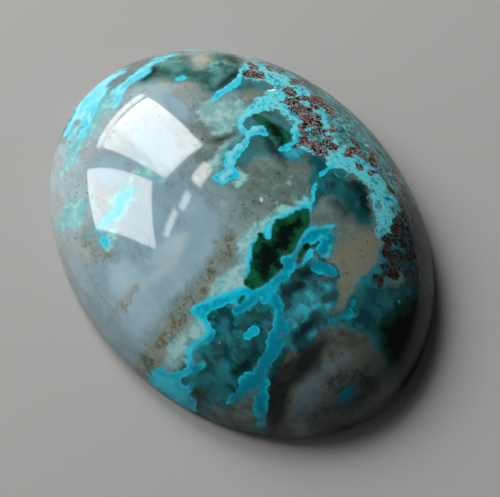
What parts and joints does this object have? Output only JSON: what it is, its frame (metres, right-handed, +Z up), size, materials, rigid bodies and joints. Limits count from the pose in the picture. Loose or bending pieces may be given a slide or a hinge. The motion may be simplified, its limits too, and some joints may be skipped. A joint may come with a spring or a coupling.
{
  "type": "chrysocolla cabochon",
  "caption": "Polished oval stone with a high domed face, a low upright girdle and a flat bevelled back, milky chalcedony with turquoise veins running through it.",
  "frame": {"origin": "middle of the flat back, where the stone rests", "axes": "+X along the long axis towards the end with the dark green patch, +Y across the stone towards its brown-speckled rim, +Z up through the dome"},
  "size_m": [0.04, 0.03, 0.0082],
  "materials": {
    "chalcedony": "polished, milky grey-blue chalcedony with opaque turquoise, deep green and copper-brown mineral; the back is ground matt"
  },
  "bodies": {
    "root": {"cabochon": "chalcedony"}
  },
  "joints": []
}
